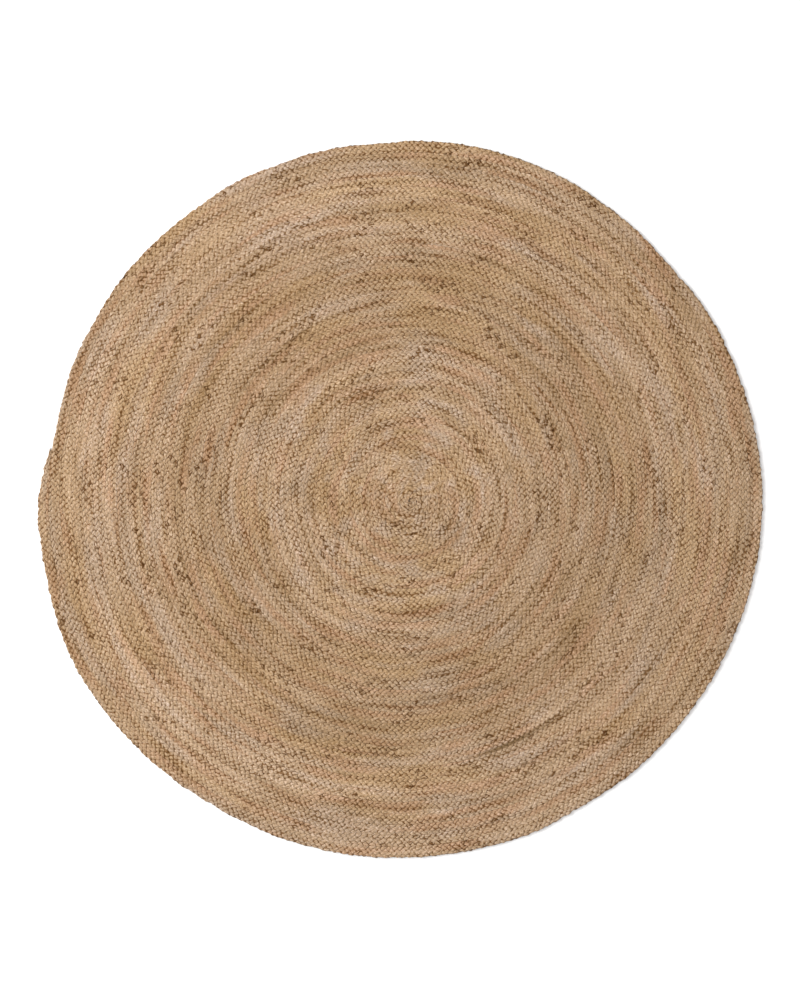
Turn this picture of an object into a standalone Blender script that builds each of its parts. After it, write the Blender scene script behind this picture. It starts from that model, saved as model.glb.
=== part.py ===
"""Round rug of braided jute: one flat braid, coiled edge to edge from its middle out.

Metres, +Z up. The rug lies flat on z = 0, with the middle of its outline at x = y = 0.
"""

from collections import namedtuple
from math import cos, degrees, exp, pi, radians, sin

import bmesh
import bpy
from mathutils import Vector

# The braid
BRAID_WIDTH = 0.019  # five strands of jute yarn, plaited flat; also the coil's pitch
THICKNESS = 0.009  # at the braid's crown
SEAM_DEPTH = 0.002  # of the sewn seam between two rounds, below the crowns

# The coil, whose rounds grow outwards clockwise as seen from above
ROUNDS = 32.1  # from its middle to its tail
TAIL_ANGLE = radians(170.5)  # where the tail ends, anticlockwise from +X
TAIL_LENGTH = 0.14  # over which the braid narrows to its sewn-down end
MIDDLE_SHIFT = Vector((0.018, -0.009))  # the coil's middle, from the middle of its last round

# The rim is uneven. Each row stands out, or in, by out_mm at its middle
# and fades to either side over about spread_deg.
Swell = namedtuple("Swell", "at_deg spread_deg out_mm")
RIM_SWELLS = [
    Swell(355, 26, 7.0),
    Swell(41, 9, -5.5),
    Swell(68, 15, 2.5),
    Swell(96, 7, -4.0),
    Swell(109, 6, -3.5),
    Swell(130, 12, -4.5),
    Swell(156, 18, -3.5),
    Swell(190, 12, -5.0),
    Swell(207, 11, 4.0),
    Swell(240, 10, -4.5),
    Swell(301, 7, -3.5),
    Swell(325, 14, 1.5),
]
SWELL_FADE = 6  # the rounds inside the rim follow it less, by this power of their radius

# Fineness of the model
STEPS_A_ROUND = 80
ROWS = 2  # faces across the braid, one on each side of its crown
WELD_DISTANCE = 1e-5
SHARP_ANGLE = radians(40)  # the rim's upper and lower edges are sharper than this

STEPS = round(ROUNDS * STEPS_A_ROUND)
RIM_RADIUS = BRAID_WIDTH * ROUNDS
SEAM_HEIGHT = THICKNESS - SEAM_DEPTH


def clear_scene():
    for thing in list(bpy.data.objects):
        bpy.data.objects.remove(thing, do_unlink=True)


def swell_at(angle):
    """How far the rim stands out of an even coil in this direction."""
    total = 0.0
    for swell in RIM_SWELLS:
        off = (degrees(angle) - swell.at_deg + 180) % 360 - 180
        total += swell.out_mm / 1000 * exp(-((off / swell.spread_deg) ** 2))
    return total


def edge_radius(step):
    """Radius of the braid's outer edge. Its inner edge is that of one round before."""
    return BRAID_WIDTH * max(0, step) / STEPS_A_ROUND


def tail_share(step):
    """1 along the braid, falling to 0 at the end of the tail."""
    left = (STEPS - step) * 2 * pi / STEPS_A_ROUND * RIM_RADIUS
    return sin(pi / 2 * min(1, left / TAIL_LENGTH))


def braid_point(step, across):
    """A point on the top of the braid. across runs from 0, its inner edge, to 1."""
    inner = edge_radius(step - STEPS_A_ROUND)
    width = (edge_radius(step) - inner) * tail_share(step)
    radius = inner + across * width
    angle = TAIL_ANGLE + (STEPS - step) * 2 * pi / STEPS_A_ROUND

    outward = radius / RIM_RADIUS
    reach = radius + swell_at(angle) * outward**SWELL_FADE
    middle = MIDDLE_SHIFT * (1 - outward)
    crown = sin(pi * across) * SEAM_DEPTH * width / BRAID_WIDTH
    return Vector((middle.x + reach * cos(angle), middle.y + reach * sin(angle), SEAM_HEIGHT + crown))


def lay_coil(bm):
    """A long strip of faces, wound into the coil and sewn along its edges."""
    bmesh.ops.create_grid(bm, x_segments=STEPS, y_segments=ROWS, size=1)
    for vert in bm.verts:
        step = round((vert.co.x + 1) / 2 * STEPS)
        across = round((vert.co.y + 1) / 2 * ROWS) / ROWS
        vert.co = braid_point(step, across)
    bmesh.ops.remove_doubles(bm, verts=bm.verts, dist=WELD_DISTANCE)


def close_underneath(bm):
    """Brings the rim straight down to the floor and closes the flat underside."""
    rim = [edge for edge in bm.edges if edge.is_boundary]
    side = bmesh.ops.extrude_edge_only(bm, edges=rim)["geom"]
    for part in side:
        if isinstance(part, bmesh.types.BMVert):
            part.co.z = 0
    foot = [edge for edge in bm.edges if edge.is_boundary]
    bmesh.ops.contextual_create(bm, geom=foot)
    bmesh.ops.recalc_face_normals(bm, faces=bm.faces)


def centre_outline(bm):
    """Puts the middle of the rug's outline over the origin."""
    low = Vector((min(v.co.x for v in bm.verts), min(v.co.y for v in bm.verts), 0))
    high = Vector((max(v.co.x for v in bm.verts), max(v.co.y for v in bm.verts), 0))
    bmesh.ops.translate(bm, verts=bm.verts, vec=-(low + high) / 2)


def jute():
    material = bpy.data.materials.new("jute")
    material.use_nodes = True
    shader = material.node_tree.nodes["Principled BSDF"]
    shader.inputs["Base Color"].default_value = (0.46, 0.31, 0.18, 1)
    shader.inputs["Roughness"].default_value = 0.9
    shader.inputs["Metallic"].default_value = 0
    return material


def make_rug(collection):
    bm = bmesh.new()
    lay_coil(bm)
    close_underneath(bm)
    centre_outline(bm)
    mesh = bpy.data.meshes.new("coiled_braid")
    bm.to_mesh(mesh)
    bm.free()

    mesh.materials.append(jute())
    mesh.shade_smooth()
    mesh.set_sharp_from_angle(angle=SHARP_ANGLE)
    rug = bpy.data.objects.new("coiled_braid", mesh)
    collection.objects.link(rug)
    return rug


clear_scene()
parts = bpy.data.collections.new("round_jute_rug")
bpy.context.scene.collection.children.link(parts)
make_rug(parts)
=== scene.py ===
import math

import bmesh
import bpy
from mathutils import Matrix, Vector


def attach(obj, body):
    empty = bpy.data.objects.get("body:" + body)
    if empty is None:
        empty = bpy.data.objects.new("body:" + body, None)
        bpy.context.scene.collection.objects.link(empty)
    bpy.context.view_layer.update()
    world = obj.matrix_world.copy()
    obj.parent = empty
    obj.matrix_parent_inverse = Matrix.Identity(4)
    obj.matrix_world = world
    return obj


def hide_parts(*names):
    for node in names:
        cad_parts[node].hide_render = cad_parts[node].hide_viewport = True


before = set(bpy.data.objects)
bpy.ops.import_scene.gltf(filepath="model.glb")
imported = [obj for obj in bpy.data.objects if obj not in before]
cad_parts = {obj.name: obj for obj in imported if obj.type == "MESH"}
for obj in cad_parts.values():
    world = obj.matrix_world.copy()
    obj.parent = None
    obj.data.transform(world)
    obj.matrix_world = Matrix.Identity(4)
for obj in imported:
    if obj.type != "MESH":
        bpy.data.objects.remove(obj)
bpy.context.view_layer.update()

collection = bpy.context.scene.collection
mm = 0.001


def addNode(tree, kind, inputs={}, **settings):
    # inputs are links or values, by the socket's name or number
    node = tree.nodes.new(kind)
    for name, value in settings.items():
        setattr(node, name, value)
    for name, value in inputs.items():
        if isinstance(value, bpy.types.NodeSocket):
            tree.links.new(value, node.inputs[name])
        else:
            node.inputs[name].default_value = value
    return node


def calc(tree, operation, *values):
    return addNode(tree, "ShaderNodeMath", dict(enumerate(values)), operation=operation).outputs[0]


def calcVector(tree, operation, *values):
    node = addNode(tree, "ShaderNodeVectorMath", dict(enumerate(values)), operation=operation)
    return node.outputs["Vector"]


def vectorOf(tree, **parts):
    return addNode(tree, "ShaderNodeCombineXYZ", parts).outputs[0]


def lengthOf(tree, vector):
    return addNode(tree, "ShaderNodeVectorMath", {0: vector}, operation="LENGTH").outputs["Value"]


def bell(tree, off, turned):
    # 1 in the middle, falling off smoothly in both directions
    away = calc(tree, "MULTIPLY_ADD", off, off, calc(tree, "MULTIPLY", turned, turned))
    return calc(tree, "EXPONENT", calc(tree, "MULTIPLY", away, -1.0))


# The braid: five jute strands, plaited flat. Either face shows four rows of lobes,
# and a lobe is where a strand passes over the others.
braid = {
    "width": 19 * mm,
    "thickness": 9 * mm,
    "rows": 4,
    "strands": 5,
    "stitch": 9.8 * mm,  # along the braid, from one strand to the next
    "lead": 7.5 * mm,  # from the start of the coil to the first stitch
    "roundedBy": 0.1 * mm,  # the edges lie lower than the middle
    "edgeBulge": 0.4 * mm,  # where a strand turns round the edge
    "edgeSet": 0.2 * mm,  # the rounds press into each other
    "rimInset": 1.6 * mm,  # of the rim's upper and lower edge, inside its middle
    "rimBulge": 1.2 * mm,
    "rimSet": -0.7 * mm,
    "underInset": 1.2 * mm,  # the under face is narrower by this much on either side
    "underRelief": 0.6,  # of the upper face's: the rug's own weight flattens it
    "lobeWeld": 0.01 * mm,  # corners of lobes this near are one
    "stitchWeld": 0.02 * mm,  # and so are those of stitches
}
rowWidth = braid["width"] / braid["rows"]
lastRow = braid["rows"] - 1

# One lobe. Each point is a, b, drop: a runs along the strand and b across it, both from -1 to 1
# in the lobe's own diamond, and drop is in mm below the crown.
plainLobe = {
    "outline": [(1, -1, 2.4), (1.28, 0, 1.6), (1, 1, 2.4), (0, 0.72, 1.6),
                (-1, 1, 2.4), (-1.28, 0, 1.6), (-1, -1, 2.4), (0, -0.72, 1.6)],
    "shoulder": [(0.48, -0.60, 0.85), (0.80, 0.1, 0.45), (0.78, 0.84, 0.7), (0, 0.56, 0.35),
                 (-0.48, 0.60, 0.85), (-0.80, -0.1, 0.45), (-0.78, -0.84, 0.7), (0, -0.56, 0.35)],
    "crown": (0, 0, 0),
}
# In the outer rows the strand comes up round the braid's edge, where b = a + 1
edgeLobe = {
    "outline": [(1, -1, 2.4), (1.28, 0, 1.6), (1, 1, 2.4), (0, 1, 2.1),
                (-1, 0, 1.3), (-2, -1, 2.1), (-1, -1, 2.4), (0, -0.72, 1.6)],
    "shoulder": [(0.48, -0.60, 0.85), (0.80, 0.1, 0.45), (0.78, 0.84, 0.7), (-0.05, 0.72, 0.6),
                 (-0.68, 0.05, 0.3), (-1.4, -0.74, 0.8), (-0.88, -0.84, 0.7), (0, -0.56, 0.35)],
    "crown": (-0.05, 0, 0),
}
# The same at the rug's rim, where the edge shows
rimLobe = {
    "outline": [(1, -1, 2.4), (1.28, 0, 1.6), (1, 1, 2.4), (0.5, 1, 2.6),
                (0, 1, 3.2), (-0.5, 0.5, 2.5), (-1, 0, 2.0), (-1.5, -0.5, 2.5),
                (-2, -1, 3.2), (-1.5, -1, 2.6), (-1, -1, 2.4), (0, -0.72, 1.6)],
    "shoulder": [(0.48, -0.60, 0.85), (0.80, 0.1, 0.45), (0.78, 0.84, 0.7), (0.35, 0.72, 0.8),
                 (-0.1, 0.65, 1.0), (-0.5, 0.3, 0.8), (-0.8, -0.05, 0.7), (-1.15, -0.35, 1.0),
                 (-1.4, -0.7, 1.6), (-1.1, -0.76, 1.2), (-0.8, -0.84, 0.7), (0, -0.56, 0.35)],
    "crown": (-0.05, 0, 0),
}
# How many stitches later a strand comes to its lobe in each row, after row 0 of the upper face
strandLag = {"upper": [0, 3, 1, 2], "under": [4, 0, 3, 1]}


def onEdge(row, a, b):
    return row in (0, lastRow) and b == a + 1


def edgeOut(a, edge):
    # a turning strand stands out most where it is at the side, a = -1
    return edge["bulge"] * math.cos(math.pi / 2 * (a + 1)) + edge["set"] - edge["inset"]


def braidPoint(row, upper, point, edge):
    # the under face is the upper one turned over, so its strands slant the other way
    a, b, drop = point
    turn = 1 if upper else -1
    slant = 1 if (row % 2 == 0) == upper else -1
    x = (row % 2) / 2 + turn * (a + b) / 4
    y = row + 0.5 + turn * slant * (a - b) / 2
    middle = braid["rows"] / 2
    drop = drop * mm + braid["roundedBy"] * ((y - middle) / middle) ** 2
    out = 0
    if onEdge(row, a, b):
        out = edgeOut(a, edge) - (0 if upper else braid["underInset"])
    return Vector((
        x * braid["stitch"],
        y * rowWidth + (out if y > middle else -out),
        braid["thickness"] - drop if upper else drop * braid["underRelief"],
    ))


def addLobe(bm, layers, row, upper, shape, edge):
    ring = [bm.verts.new(braidPoint(row, upper, point, edge)) for point in shape["outline"]]
    crown = bm.verts.new(braidPoint(row, upper, shape["crown"], edge))
    strandPlace = dict(zip(ring, shape["outline"]))
    strandPlace[crown] = shape["crown"]
    faces = []
    if upper:
        shoulder = [bm.verts.new(braidPoint(row, True, point, edge)) for point in shape["shoulder"]]
        strandPlace.update(zip(shoulder, shape["shoulder"]))
        for i, vert in enumerate(ring):
            faces.append((vert, ring[i - 1], shoulder[i - 1], shoulder[i]))
        ring = shoulder
    for i, vert in enumerate(ring):
        faces.append((vert, ring[i - 1], crown))
    for verts in faces:
        face = bm.faces.new(verts if row % 2 == 0 else verts[::-1])
        face[layers["lag"]] = strandLag["upper" if upper else "under"][row]
        face[layers["ahead"]] = (row % 2) / 2
        for loop in face.loops:
            a, b, _ = strandPlace[loop.vert]
            loop[layers["yarn"]].uv = (a, b)


def addSide(bm, layers, row, shape, edge):
    # the strands come up round the edge, half a stitch further on than they went down
    outward = -1 if row == 0 else 1
    columns = []
    for point in shape["outline"]:
        if not onEdge(row, point[0], point[1]):
            continue
        top = braidPoint(row, True, point, edge)
        foot = Vector((
            top.x - braid["stitch"] / 2,
            top.y - outward * braid["underInset"],
            (braid["thickness"] - top.z) * braid["underRelief"],
        ))
        column = [foot, top]
        if edge["inset"]:
            halfway = (foot + top) / 2
            column.insert(1, Vector((halfway.x, top.y + outward * edge["inset"], halfway.z)))
        columns.append([bm.verts.new(place) for place in column])
    for i in range(1, len(columns)):
        for j in range(1, len(columns[i])):
            corners = columns[i][j - 1], columns[i][j], columns[i - 1][j], columns[i - 1][j - 1]
            face = bm.faces.new(corners[::outward])
            face[layers["lag"]] = strandLag["upper"][row]
            face[layers["ahead"]] = (row % 2) / 2
            for loop in face.loops:
                loop[layers["yarn"]].uv = (-1, 0)


def stitchObject(name, outerLobe, outerEdge):
    # one stitch of the straight braid, x along it and y across
    bm = bmesh.new()
    layers = {
        "lag": bm.faces.layers.int.new("lag"),
        "ahead": bm.faces.layers.float.new("ahead"),
        "yarn": bm.loops.layers.uv.new("yarn"),
    }
    for row, shape in enumerate([edgeLobe, plainLobe, plainLobe, outerLobe]):
        edge = innerEdge if row == 0 else outerEdge
        addLobe(bm, layers, row, True, shape, edge)
        addLobe(bm, layers, row, False, shape, edge)
    addSide(bm, layers, 0, edgeLobe, innerEdge)
    addSide(bm, layers, lastRow, outerLobe, outerEdge)
    bmesh.ops.remove_doubles(bm, verts=bm.verts, dist=braid["lobeWeld"])
    mesh = bpy.data.meshes.new(name)
    bm.to_mesh(mesh)
    bm.free()
    stitch = bpy.data.objects.new(name, mesh)
    collection.objects.link(stitch)
    return stitch


innerEdge = {"bulge": braid["edgeBulge"], "inset": 0, "set": braid["edgeSet"]}
rimEdge = {"bulge": braid["rimBulge"], "inset": braid["rimInset"], "set": braid["rimSet"]}
plainStitch = stitchObject("plain_stitch", edgeLobe, innerEdge)
rimStitch = stitchObject("rim_stitch", rimLobe, rimEdge)
for stitch in (plainStitch, rimStitch):
    stitch.data.calc_loop_triangles()
    print(stitch.name, len(stitch.data.loop_triangles), "triangles")

# The coil the braid is wound into: from the middle outwards, clockwise as seen from above
coil = {
    "rounds": 32.1,
    "tailAt": 170.5,  # degrees, anticlockwise from +X
    "tailLength": 0.14,
    "tailPower": 0.95,  # below 1, the end is blunter than a sine wave's
    "tailThickness": 0.75,  # of the braid's own, at the sewn-down end
    "middleShift": Vector((0.018, -0.009, 0)),
    "swellFade": 6,  # the rounds inside the rim follow its swells by this power of their radius
    "stepsARound": 144,
    "eye": 0.1,  # the inner edge of the first round, as a part of its outer one
    "pieces": 6,
    "endGap": 0.9,  # stitches, from the last one to the end of the path
}
rimRadius = braid["width"] * coil["rounds"]
lastStep = round(coil["rounds"] * coil["stepsARound"])

# Where the rim stands out of an even coil, or in from it
rimSwells = [
    {"at": 355, "spread": 26, "out": 8.0 * mm},
    {"at": 31, "spread": 6, "out": 1.7 * mm},
    {"at": 41, "spread": 9, "out": -5.5 * mm},
    {"at": 56, "spread": 5, "out": -2.5 * mm},
    {"at": 68, "spread": 15, "out": 2.5 * mm},
    {"at": 95, "spread": 7, "out": -6.0 * mm},
    {"at": 109, "spread": 6, "out": -5.0 * mm},
    {"at": 124, "spread": 4, "out": -2.0 * mm},
    {"at": 130, "spread": 12, "out": -4.5 * mm},
    {"at": 149, "spread": 4, "out": -2.0 * mm},
    {"at": 156, "spread": 18, "out": -3.5 * mm},
    {"at": 167, "spread": 6, "out": -5.0 * mm},
    {"at": 176, "spread": 5, "out": -4.5 * mm},
    {"at": 190, "spread": 12, "out": -5.0 * mm},
    {"at": 207, "spread": 11, "out": 4.0 * mm},
    {"at": 240, "spread": 10, "out": -3.0 * mm},
    {"at": 292, "spread": 5, "out": 2.5 * mm},
    {"at": 301, "spread": 7, "out": -2.0 * mm},
    {"at": 310, "spread": 5, "out": 1.5 * mm},
    {"at": 325, "spread": 14, "out": 1.5 * mm},
]


def swellAt(angle):
    total = 0
    for swell in rimSwells:
        off = (math.degrees(angle) - swell["at"] + 180) % 360 - 180
        total += swell["out"] * math.exp(-((off / swell["spread"]) ** 2))
    return total


def tailShare(step):
    # 1 along the braid, falling to 0 at the end of the tail
    left = (lastStep - step) / coil["stepsARound"] * 2 * math.pi * rimRadius
    return math.sin(math.pi / 2 * min(1, left / coil["tailLength"])) ** coil["tailPower"]


def coilPoint(step, across):
    # across runs from 0 at the braid's inner edge to 1 at its outer one
    outer = braid["width"] * step / coil["stepsARound"]
    inner = max(coil["eye"] * outer, outer - braid["width"])
    radius = inner + across * (outer - inner) * tailShare(step)
    angle = math.radians(coil["tailAt"]) + (lastStep - step) / coil["stepsARound"] * 2 * math.pi
    outward = radius / rimRadius
    reach = radius + swellAt(angle) * outward ** coil["swellFade"]
    return coil["middleShift"] * (1 - outward) + Vector((math.cos(angle), math.sin(angle), 0)) * reach


def coilPath():
    # a line along the middle of the braid; each point knows how far the outer edge is from it
    inner = [coilPoint(step, 0) for step in range(lastStep + 1)]
    outer = [coilPoint(step, 1) for step in range(lastStep + 1)]
    low = Vector([min(point[axis] for point in outer) for axis in range(3)])
    high = Vector([max(point[axis] for point in outer) for axis in range(3)])
    points = [(a + b - low - high) / 2 for a, b in zip(inner, outer)]
    mesh = bpy.data.meshes.new("coil_path")
    mesh.from_pydata(points, [(i, i + 1) for i in range(lastStep)], [])
    reach = mesh.attributes.new("reach", "FLOAT_VECTOR", "POINT")
    for step, item in enumerate(reach.data):
        item.vector = (outer[step] - inner[step]) / 2
    thin = mesh.attributes.new("thin", "FLOAT", "POINT")
    for step, item in enumerate(thin.data):
        item.value = coil["tailThickness"] + (1 - coil["tailThickness"]) * tailShare(step)
    lengths = [(points[i + 1] - points[i]).length for i in range(lastStep)]
    return mesh, sum(lengths), sum(lengths[:lastStep - coil["stepsARound"]])


path, braidLength, rimFrom = coilPath()
stitches = int((braidLength - braid["lead"]) / braid["stitch"] - coil["endGap"])
print("coil path", round(braidLength, 2), "m,", stitches, "stitches")

# Hand plaiting is uneven
uneven = {
    "Lobe Swing": 7.5 * mm,  # of single lobes, sideways
    "Lobe Size": 9 * mm,
    "Height Swing": 0.28,  # of the thickness
    "Height Size": 7 * mm,
    "Round Swing": 6.0 * mm,  # of whole rounds, sideways, which fades out towards the rim
    "Round Size": 80 * mm,
    "Rim Fade": 60 * mm,
    "Seed": 7.0,
}

# One round lies a little raised here, as a low ripple
ripple = {
    "Ripple Radius": 0.440,
    "Ripple Width": 6 * mm,
    "Ripple Height": 6 * mm,
    "Ripple Angle": math.radians(-64),
    "Ripple Half Length": math.radians(10),
}


def noisePush(tree, place, size, seed):
    # from -0.5 to 0.5 in each direction, the same for all that lies in one place
    noise = addNode(tree, "ShaderNodeTexNoise", {
        "Vector": place, "W": seed, "Scale": calc(tree, "DIVIDE", 1.0, size), "Detail": 1.0,
    }, noise_dimensions="4D")
    return calcVector(tree, "SUBTRACT", noise.outputs["Color"], (0.5, 0.5, 0.5))


def named(tree, name, kind):
    node = addNode(tree, "GeometryNodeInputNamedAttribute", {"Name": name}, data_type=kind)
    return node.outputs["Attribute"]


def keep(tree, geometry, name, kind, domain, value):
    node = addNode(tree, "GeometryNodeStoreNamedAttribute", {
        "Geometry": geometry, "Name": name, "Value": value,
    }, data_type=kind, domain=domain)
    return node.outputs["Geometry"]


def straightBraid(tree, given, place):
    # a point for each stitch, which remembers its number
    index = tree.nodes.new("GeometryNodeInputIndex").outputs["Index"]
    number = calc(tree, "ADD", index, given["First"])
    start = calc(tree, "MULTIPLY_ADD", given["First"], given["Stitch Length"], given["Lead"])
    line = addNode(tree, "GeometryNodeMeshLine", {
        "Count": given["Count"],
        "Start Location": vectorOf(tree, X=start),
        "Offset": vectorOf(tree, X=given["Stitch Length"]),
    })
    line = keep(tree, line.outputs["Mesh"], "stitch", "INT", "POINT", number)

    # a rim stitch where nothing lies outside it, and a plain one elsewhere
    atRim = calc(tree, "GREATER_THAN", number, given["Rim First"])
    both = tree.nodes.new("GeometryNodeJoinGeometry")
    for name, chosen in (("Plain Stitch", calc(tree, "SUBTRACT", 1, atRim)), ("Rim Stitch", atRim)):
        shape = addNode(tree, "GeometryNodeObjectInfo", {"Object": given[name]})
        laid = addNode(tree, "GeometryNodeInstanceOnPoints", {
            "Points": line, "Selection": chosen, "Instance": shape.outputs["Geometry"],
        })
        tree.links.new(laid.outputs["Instances"], both.inputs["Geometry"])
    cloth = addNode(tree, "GeometryNodeRealizeInstances", {"Geometry": both.outputs["Geometry"]})

    # which strand each lobe belongs to, and where it is along and across the braid
    stitch = named(tree, "stitch", "INT")
    strand = calc(tree, "SUBTRACT", stitch, named(tree, "lag", "INT"))
    strand = calc(tree, "FLOORED_MODULO", strand, given["Strands"])
    cloth = keep(tree, cloth.outputs["Geometry"], "strand", "FLOAT", "FACE", strand)
    lobeAt = calc(tree, "ADD", stitch, named(tree, "ahead", "FLOAT"))
    lobeAt = calc(tree, "MULTIPLY", lobeAt, given["Stitch Length"])
    cloth = keep(tree, cloth, "lobe_at", "FLOAT", "FACE", lobeAt)
    cloth = keep(tree, cloth, "braid_place", "FLOAT_VECTOR", "POINT", place)
    cloth = addNode(tree, "GeometryNodeMergeByDistance", {
        "Geometry": cloth, "Distance": given["Weld Distance"],
    })
    return cloth.outputs["Geometry"]


def placeOnPath(tree, given, place):
    # where a point of the straight braid comes to lie in the coil
    along, across, up = addNode(tree, "ShaderNodeSeparateXYZ", {0: place}).outputs
    line = addNode(tree, "GeometryNodeMeshToCurve", {"Mesh": given["Geometry"]}).outputs["Curve"]
    middle = addNode(tree, "GeometryNodeSampleCurve", {
        "Curves": line, "Value": named(tree, "reach", "FLOAT_VECTOR"), "Length": along,
    }, data_type="FLOAT_VECTOR", mode="LENGTH")
    thin = addNode(tree, "GeometryNodeSampleCurve", {
        "Curves": line, "Value": named(tree, "thin", "FLOAT"), "Length": along,
    }, data_type="FLOAT", mode="LENGTH")
    share = calc(tree, "MULTIPLY_ADD", calc(tree, "DIVIDE", across, given["Braid Width"]), 2, -1)
    sideways = addNode(tree, "ShaderNodeVectorMath", {
        "Vector": middle.outputs["Value"], "Scale": share,
    }, operation="SCALE")
    wound = calcVector(tree, "ADD", middle.outputs["Position"], sideways.outputs["Vector"])
    height = calc(tree, "MULTIPLY", up, thin.outputs["Value"])
    return calcVector(tree, "ADD", wound, vectorOf(tree, Z=height))


def unevenPush(tree, given, place):
    # single lobes and whole rounds go sideways, and lobes up or down
    inside = calc(tree, "SUBTRACT", given["Rim Radius"], lengthOf(tree, place))
    fade = addNode(tree, "ShaderNodeMapRange", {"Value": inside, "From Max": given["Rim Fade"]})
    push = (0, 0, 0)
    for size, swing, seed in [
        ("Lobe Size", given["Lobe Swing"], 0),
        ("Round Size", calc(tree, "MULTIPLY", given["Round Swing"], fade.outputs["Result"]), 1),
    ]:
        noise = noisePush(tree, place, given[size], calc(tree, "ADD", given["Seed"], seed))
        push = calcVector(tree, "MULTIPLY_ADD", noise, vectorOf(tree, X=swing, Y=swing), push)
    noise = noisePush(tree, place, given["Height Size"], calc(tree, "ADD", given["Seed"], 2))
    higher = calcVector(tree, "MULTIPLY", noise, place)
    higher = calcVector(tree, "MULTIPLY", higher, vectorOf(tree, Z=given["Height Swing"]))
    return calcVector(tree, "ADD", push, higher)


def rippleLift(tree, given, place):
    # fades out towards the ripple's ends and sides, and towards the floor
    x, y, z = addNode(tree, "ShaderNodeSeparateXYZ", {0: place}).outputs
    off = calc(tree, "SUBTRACT", lengthOf(tree, vectorOf(tree, X=x, Y=y)), given["Ripple Radius"])
    off = calc(tree, "DIVIDE", off, given["Ripple Width"])
    turned = calc(tree, "SUBTRACT", calc(tree, "ARCTAN2", y, x), given["Ripple Angle"])
    turned = calc(tree, "DIVIDE", turned, given["Ripple Half Length"])
    lift = calc(tree, "MULTIPLY", bell(tree, off, turned), given["Ripple Height"])
    lift = calc(tree, "MULTIPLY", lift, calc(tree, "DIVIDE", z, given["Thickness"]))
    return vectorOf(tree, Z=lift)


def layBraidTree():
    tree = bpy.data.node_groups.new("lay braid", "GeometryNodeTree")
    for kind, names in {
        "Geometry": ["Geometry"],
        "Object": ["Plain Stitch", "Rim Stitch"],
        "Int": ["First", "Count", "Rim First", "Strands"],
        "Float": ["Lead", "Stitch Length", "Braid Width", "Thickness", "Weld Distance", "Rim Radius",
                  *uneven, *ripple],
        "Material": ["Material"],
    }.items():
        for name in names:
            tree.interface.new_socket(name, in_out="INPUT", socket_type="NodeSocket" + kind)
    tree.interface.new_socket("Geometry", in_out="OUTPUT", socket_type="NodeSocketGeometry")
    given = tree.nodes.new("NodeGroupInput").outputs
    place = tree.nodes.new("GeometryNodeInputPosition").outputs["Position"]

    cloth = straightBraid(tree, given, place)
    for moved in (
        {"Position": placeOnPath(tree, given, place)},
        {"Offset": unevenPush(tree, given, place)},
        {"Offset": rippleLift(tree, given, place)},
    ):
        cloth = addNode(tree, "GeometryNodeSetPosition", {"Geometry": cloth, **moved}).outputs["Geometry"]

    cloth = addNode(tree, "GeometryNodeSetShadeSmooth", {"Geometry": cloth}).outputs["Geometry"]
    cloth = addNode(tree, "GeometryNodeRealizeInstances", {"Geometry": cloth}).outputs["Geometry"]
    cloth = addNode(tree, "GeometryNodeSetMaterial", {"Geometry": cloth, "Material": given["Material"]})
    result = tree.nodes.new("NodeGroupOutput")
    tree.links.new(cloth.outputs["Geometry"], result.inputs["Geometry"])
    return tree


# Colours of the yarn, and the painted shade in its creases
juteLook = {
    "sand": (0.399, 0.273, 0.168, 1),
    "golden": (0.386, 0.2525, 0.138, 1),
    "grey": (0.393, 0.280, 0.189, 1),
    "reddish": (0.380, 0.234, 0.1355, 1),
    "brown": (0.130, 0.062, 0.022, 1),
    "creaseShade": (0.40, 0.275, 0.145, 1),  # painted shade: what is left of a colour at the bottom of the creases
    "darkens": (0.83, 1.0, 1.38),  # darker yarn is also browner: powers for red, green and blue
    "darkest": 0.15,  # no tone is below this
    "roughness": 0.85,
    "gloss": 0.08,
    "fibre": 0.35 * mm,  # height of single fibres
    "creaseFrom": 1.15 * mm,  # below the crown, where the painted shade in the creases starts
    "creaseFull": 2.1 * mm,
    "creaseShift": 4.0 * mm,  # how much nearer the crown the painted shade in the creases starts where the plait is loose
    "creaseRowFade": 0.1,  # the painted shade in the creases is darkest along the middle of each row
}

# Tone of the yarn from the middle of the rug to its rim. Each pair is a share of the radius and a tone
ringTones = [(0.0, 0.96), (0.12, 1.0), (0.22, 1.04), (0.36, 1.02), (0.46, 0.94), (0.62, 0.90),
             (0.67, 0.95), (0.74, 1.07), (0.88, 1.07), (0.93, 0.97), (1.0, 0.98)]

# Layers of noise over the yarn, of five kinds
#   patch: on the braid, of this size in metres along and across it
#   strand: the same along each strand, where 1 across keeps the strands apart
#   arc: round the rug, with about this many changes in a turn and over this width
#   fibre: on each lobe, with about this many changes along and across it
#   lobe: one value for each lobe
# A layer with starts and full has no effect where its noise is below the first, and all of it
# above the second
colourLayers = [
    {"colour": "golden", "starts": 0.4, "full": 0.65,
     "noise": "arc", "turns": 1.5, "width": 0.06, "seed": 21},
    {"colour": "grey", "starts": 0.45, "full": 0.7,
     "noise": "arc", "turns": 3.0, "width": 0.03, "seed": 22},
    {"colour": "reddish", "starts": 0.47, "full": 0.72,
     "noise": "patch", "size": (0.12, 0.022), "seed": 3},
]
# A lobe is brown where both of these are full
fleckLayers = [
    {"noise": "strand", "size": (0.10, 1.0), "seed": 4, "starts": 0.67, "full": 0.71},
    {"noise": "fibre", "along": 0.5, "across": 1.5, "starts": 0.4, "full": 0.55},
]
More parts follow.
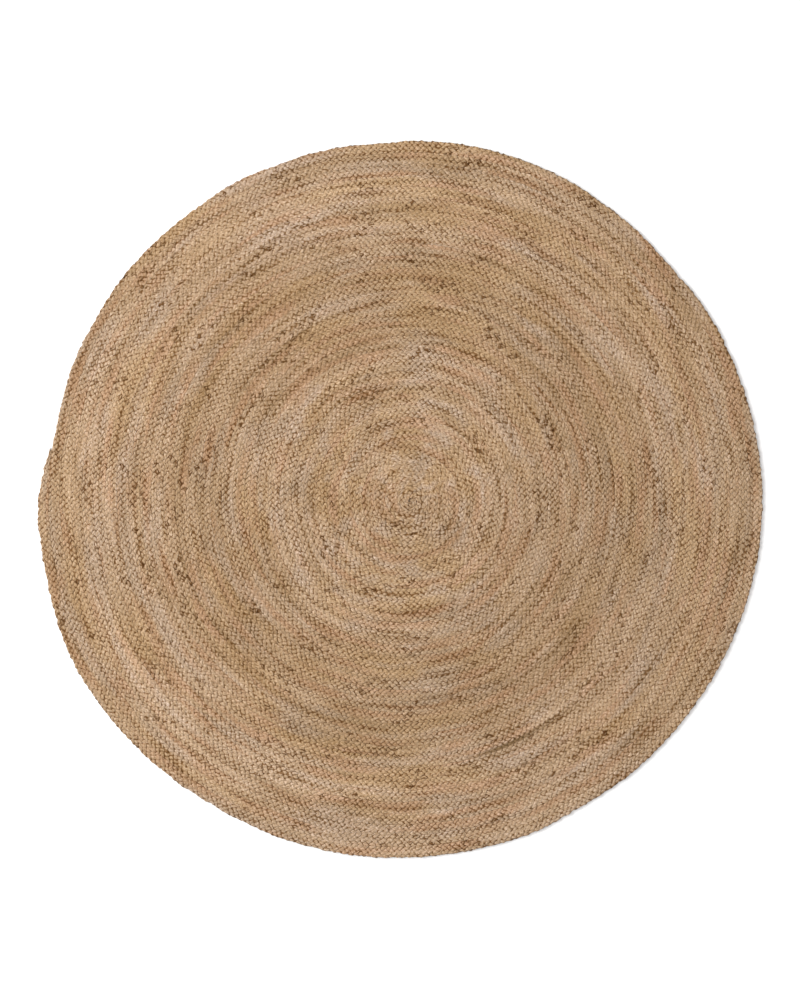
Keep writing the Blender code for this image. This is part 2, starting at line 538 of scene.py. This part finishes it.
# Lighter and darker yarn: swing is the difference between the lightest and the darkest
toneLayers = [
    {"swing": 0.22, "noise": "strand", "size": (0.25, 1.0), "seed": 5},
    {"swing": 0.20, "noise": "patch", "size": (0.016, 0.008), "seed": 10},
    {"swing": 0.34, "noise": "patch", "size": (0.14, 0.009), "seed": 6, "detail": 2.0},
    {"swing": 0.32, "noise": "patch", "size": (0.35, 1.0), "seed": 9},
    {"swing": 0.36, "noise": "arc", "turns": 3.0, "width": 0.016, "seed": 23},
    {"swing": 0.35, "noise": "arc", "turns": 1.2, "width": 0.06, "seed": 24},
    {"swing": 0.10, "noise": "lobe"},
    {"swing": 0.9, "noise": "fibre", "along": 0.8, "across": 3.0},
    {"swing": 1.9, "noise": "patch", "size": (0.0034, 0.0015), "seed": 7},
]
# The plait is looser in some stretches, and round some single lobes, where the painted shade in the
# creases reaches nearer the crown
looseStretch = {"noise": "patch", "size": (0.11, 0.008), "seed": 12}
looseLayers = [looseStretch, {"noise": "patch", "size": (0.007, 0.0045), "seed": 11}]
# Loose stretches and some arcs are darker, by this depth
darkLayers = [
    {"depth": 0.14, "starts": 0.5, "full": 0.75, **looseStretch},
    {"depth": 0.12, "starts": 0.5, "full": 0.7,
     "noise": "arc", "turns": 2.5, "width": 0.03, "seed": 25},
]
# The shadow outside the ripple, and the light on its crest, where the depth is negative
rippleStreaks = [
    {"depth": 0.6, "at": math.radians(-67.5), "halfLength": math.radians(8),
     "outside": 7 * mm, "width": 3 * mm},
    {"depth": -0.25, "at": math.radians(-60), "halfLength": math.radians(10),
     "outside": 0, "width": 3 * mm},
]
fibreBump = {"noise": "fibre", "along": 2.0, "across": 8.0, "detail": 2.0}

seedStep = (7.3, 3.1, 1)  # moves the noise of each seed away from the others
strandStep = 5.0  # between the noise of neighbouring strands
lobeStep = 90.0  # between the fibres of different lobes, at most


def mapped(tree, value, starts, full):
    return addNode(tree, "ShaderNodeMapRange", {
        "Value": value, "From Min": starts, "From Max": full,
    }, interpolation_type="SMOOTHSTEP").outputs["Result"]


def mixColour(tree, amount, first, second, blend="MIX"):
    return addNode(tree, "ShaderNodeMix", {0: amount, 6: first, 7: second},
                   data_type="RGBA", blend_type=blend).outputs[2]


def attribute(tree, name, output):
    return addNode(tree, "ShaderNodeAttribute", attribute_name=name).outputs[output]


def plainNoise(tree, place, detail=1.0):
    noise = addNode(tree, "ShaderNodeTexNoise", {"Vector": place, "Scale": 1.0, "Detail": detail})
    return noise.outputs["Fac"]


def yarnPlaces(tree):
    # where a point is: in the braid, along its strand, on its lobe and in the rug
    place = attribute(tree, "braid_place", "Vector")
    lobeAt = attribute(tree, "lobe_at", "Fac")
    strand = attribute(tree, "strand", "Fac")
    lobe = vectorOf(tree, X=lobeAt, Y=strand)
    yarn = addNode(tree, "ShaderNodeUVMap", uv_map="yarn").outputs["UV"]
    along, aside = addNode(tree, "ShaderNodeSeparateXYZ", {0: yarn}).outputs[:2]
    inRug = addNode(tree, "ShaderNodeTexCoord").outputs["Object"]
    inPlane = calcVector(tree, "MULTIPLY", inRug, (1, 1, 0))
    x, y = addNode(tree, "ShaderNodeSeparateXYZ", {0: inRug}).outputs[:2]
    return {
        "place": place,
        "strandPlace": vectorOf(tree, X=lobeAt, Y=calc(tree, "MULTIPLY", strand, strandStep)),
        "lobe": addNode(tree, "ShaderNodeTexWhiteNoise", {"Vector": lobe}).outputs["Value"],
        "along": along,
        "aside": aside,
        "distance": lengthOf(tree, inPlane),
        "direction": calcVector(tree, "NORMALIZE", inPlane),
        "angle": calc(tree, "ARCTAN2", y, x),
    }


def patchNoise(tree, place, size, seed, detail):
    stretched = calcVector(tree, "MULTIPLY", place, (1 / size[0], 1 / size[1], 0))
    moved = calcVector(tree, "ADD", stretched, [seed * step for step in seedStep])
    return plainNoise(tree, moved, detail)


def arcNoise(tree, at, turns, width, seed):
    spread = calcVector(tree, "MULTIPLY", at["direction"], (turns, turns, 0))
    outwards = vectorOf(tree, Z=calc(tree, "DIVIDE", at["distance"], width))
    spread = calcVector(tree, "ADD", calcVector(tree, "ADD", spread, outwards), (seed, seed, seed))
    return plainNoise(tree, spread)


def fibreNoise(tree, at, lengthwise, crosswise, detail):
    # the fibres wind round their strand, at a slant
    along, aside = at["along"], at["aside"]
    wound = vectorOf(
        tree,
        X=calc(tree, "MULTIPLY_ADD", along, lengthwise, calc(tree, "MULTIPLY", aside, lengthwise)),
        Y=calc(tree, "MULTIPLY_ADD", along, -crosswise / 2, calc(tree, "MULTIPLY", aside, crosswise)),
        Z=calc(tree, "MULTIPLY", at["lobe"], lobeStep),
    )
    return plainNoise(tree, wound, detail)


def layerNoise(tree, at, layer):
    kind = layer["noise"]
    detail = layer.get("detail", 1.0)
    if kind == "lobe":
        value = at["lobe"]
    elif kind == "fibre":
        value = fibreNoise(tree, at, layer["along"], layer["across"], detail)
    elif kind == "arc":
        value = arcNoise(tree, at, layer["turns"], layer["width"], layer["seed"])
    else:
        place = at["strandPlace" if kind == "strand" else "place"]
        value = patchNoise(tree, place, layer["size"], layer["seed"], detail)
    if "starts" in layer:
        value = mapped(tree, value, layer["starts"], layer["full"])
    return value


def streak(tree, at, layer):
    turned = calc(tree, "DIVIDE", calc(tree, "SUBTRACT", at["angle"], layer["at"]), layer["halfLength"])
    off = calc(tree, "SUBTRACT", at["distance"], ripple["Ripple Radius"] + layer["outside"])
    return bell(tree, calc(tree, "DIVIDE", off, layer["width"]), turned)


def ringTone(tree, at):
    rings = tree.nodes.new("ShaderNodeValToRGB")
    tree.links.new(calc(tree, "DIVIDE", at["distance"], rimRadius), rings.inputs["Fac"])
    stops = rings.color_ramp.elements
    while len(stops) < len(ringTones):
        stops.new(1.0)
    for stop, (share, tone) in zip(stops, ringTones):
        stop.position = share
        stop.color = (tone / 2, tone / 2, tone / 2, 1)  # a ramp stays under 1, so the tones are halved
    return calc(tree, "MULTIPLY", rings.outputs["Color"], 2.0)


def yarnColour(tree, at):
    colour = juteLook["sand"]
    for layer in colourLayers:
        colour = mixColour(tree, layerNoise(tree, at, layer), colour, juteLook[layer["colour"]])
    fleck = calc(tree, "MULTIPLY", *[layerNoise(tree, at, layer) for layer in fleckLayers])
    return mixColour(tree, fleck, colour, juteLook["brown"])


def yarnShade(tree, at):
    # the yarn's own colour is multiplied by this one
    tone = ringTone(tree, at)
    for layer in toneLayers:
        swing = layer["swing"]
        lighter = calc(tree, "MULTIPLY_ADD", layerNoise(tree, at, layer), swing, 1 - swing / 2)
        tone = calc(tree, "MULTIPLY", tone, lighter)
    darker = [(layerNoise(tree, at, layer), layer["depth"]) for layer in darkLayers]
    darker += [(streak(tree, at, layer), layer["depth"]) for layer in rippleStreaks]
    for value, depth in darker:
        tone = calc(tree, "MULTIPLY", tone, calc(tree, "MULTIPLY_ADD", value, -depth, 1.0))
    tone = calc(tree, "MAXIMUM", tone, juteLook["darkest"])
    red, green, blue = [calc(tree, "POWER", tone, power) for power in juteLook["darkens"]]
    return vectorOf(tree, X=red, Y=green, Z=blue)


def creaseShadeAmount(tree, at):
    # how much painted shade a point gets: more the further it lies below the crown of either face, and
    # more where the plait is loose
    _, crosswise, height = addNode(tree, "ShaderNodeSeparateXYZ", {0: at["place"]}).outputs
    half = braid["thickness"] / 2
    drop = calc(tree, "SUBTRACT", half, calc(tree, "ABSOLUTE", calc(tree, "SUBTRACT", height, half)))
    loose = calc(tree, "ADD", *[layerNoise(tree, at, layer) for layer in looseLayers])
    loose = calc(tree, "SUBTRACT", loose, 1.0)
    drop = calc(tree, "MULTIPLY_ADD", loose, juteLook["creaseShift"], drop)
    deep = mapped(tree, drop, juteLook["creaseFrom"], juteLook["creaseFull"])
    rowTurn = calc(tree, "COSINE", calc(tree, "MULTIPLY", crosswise, 2 * math.pi / rowWidth))
    fade = juteLook["creaseRowFade"]
    return calc(tree, "MULTIPLY", deep, calc(tree, "MULTIPLY_ADD", rowTurn, -fade, 1 - fade))


def juteMaterial():
    material = bpy.data.materials.new("jute yarn")
    material.use_nodes = True
    tree = material.node_tree
    shader = tree.nodes["Principled BSDF"]
    at = yarnPlaces(tree)

    colour = mixColour(tree, 1.0, yarnColour(tree, at), yarnShade(tree, at), "MULTIPLY")
    # painted shade: the colour darkens towards this the deeper a point lies in the creases
    creaseShaded = mixColour(tree, 1.0, colour, juteLook["creaseShade"], "MULTIPLY")
    colour = mixColour(tree, creaseShadeAmount(tree, at), colour, creaseShaded)
    tree.links.new(colour, shader.inputs["Base Color"])
    shader.inputs["Roughness"].default_value = juteLook["roughness"]
    shader.inputs["Specular IOR Level"].default_value = juteLook["gloss"]

    bump = addNode(tree, "ShaderNodeBump", {
        "Height": layerNoise(tree, at, fibreBump), "Distance": juteLook["fibre"], "Strength": 1.0})
    tree.links.new(bump.outputs["Normal"], shader.inputs["Normal"])
    return material


jute = juteMaterial()


def setInputs(modifier, values):
    for item in modifier.node_group.interface.items_tree:
        if item.name in values:
            modifier[item.identifier] = values[item.name]


def closeEnds(mesh):
    # fills the open section at either end of a piece
    bm = bmesh.new()
    bm.from_mesh(mesh)
    ends = [edge for edge in bm.edges if edge.is_boundary]
    bmesh.ops.holes_fill(bm, edges=ends, sides=0)
    for face in bm.faces:
        face.smooth = True
    bm.to_mesh(mesh)
    bm.free()


tree = layBraidTree()
pieces = []
for i in range(coil["pieces"]):
    first = stitches * i // coil["pieces"]
    after = stitches * (i + 1) // coil["pieces"]
    piece = bpy.data.objects.new(f"braid_{i + 1}", path)
    collection.objects.link(piece)
    laying = piece.modifiers.new("lay braid", "NODES")
    laying.node_group = tree
    setInputs(laying, {
        "Plain Stitch": plainStitch,
        "Rim Stitch": rimStitch,
        "First": first,
        "Count": after - first,
        "Rim First": int(rimFrom / braid["stitch"]),
        "Lead": braid["lead"],
        "Stitch Length": braid["stitch"],
        "Braid Width": braid["width"],
        "Thickness": braid["thickness"],
        "Weld Distance": braid["stitchWeld"],
        "Strands": braid["strands"],
        "Rim Radius": rimRadius,
        "Material": jute,
        **uneven,
        **ripple,
    })
    depsgraph = bpy.context.evaluated_depsgraph_get()
    solid = bpy.data.meshes.new_from_object(
        piece.evaluated_get(depsgraph), preserve_all_data_layers=True, depsgraph=depsgraph)
    piece.modifiers.clear()
    piece.data = solid
    solid.name = piece.name
    closeEnds(solid)
    solid.calc_loop_triangles()
    print(piece.name, len(solid.loop_triangles), "triangles")
    pieces.append((piece, (after - first) * braid["stitch"]))

for stitch in (plainStitch, rimStitch):
    bpy.data.objects.remove(stitch)

for piece, length in pieces:
    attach(piece, "root")
    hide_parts("coiled_braid")

# Floor, light and camera
studio = {
    "floorColour": (0.97, 0.97, 0.97, 1),
    "floorRoughness": 0.9,
    "floorReach": 6,  # from the rug's middle
    "dome": 0.84,
    "key": 173,  # watts
    "keyAt": Vector((-2.7, 0.7, 3.0)),
    "keySize": 3.0,
    "cameraHeight": 3.950,
    "cameraAt": Vector((0.0, -0.0010, 0)),
    "lens": 85,
    "sensorWidth": 36,
}

floorMesh = bpy.data.meshes.new("floor")
far = studio["floorReach"]
corners = [(-far, -far, 0), (far, -far, 0), (far, far, 0), (-far, far, 0)]
floorMesh.from_pydata(corners, [], [(0, 1, 2, 3)])
floor = bpy.data.objects.new("floor", floorMesh)
collection.objects.link(floor)
floorPaint = bpy.data.materials.new("floor paint")
floorPaint.use_nodes = True
floorShader = floorPaint.node_tree.nodes["Principled BSDF"]
floorShader.inputs["Base Color"].default_value = studio["floorColour"]
floorShader.inputs["Roughness"].default_value = studio["floorRoughness"]
floorMesh.materials.append(floorPaint)

world = bpy.data.worlds.new("dome")
bpy.context.scene.world = world
world.use_nodes = True
sky = world.node_tree.nodes["Background"]
sky.inputs["Color"].default_value = (1, 1, 1, 1)
sky.inputs["Strength"].default_value = studio["dome"]

key = bpy.data.lights.new("key", "AREA")
key.size = studio["keySize"]
key.energy = studio["key"]
keyObject = bpy.data.objects.new("key", key)
keyObject.location = studio["keyAt"]
keyObject.rotation_euler = (-studio["keyAt"]).to_track_quat("-Z", "Y").to_euler()
collection.objects.link(keyObject)

camera = bpy.data.objects.new("camera", bpy.data.cameras.new("camera"))
camera.data.lens = studio["lens"]
camera.data.sensor_width = studio["sensorWidth"]
camera.location = studio["cameraAt"] + Vector((0, 0, studio["cameraHeight"]))
collection.objects.link(camera)
bpy.context.scene.camera = camera
bpy.context.scene.view_settings.view_transform = "Standard"
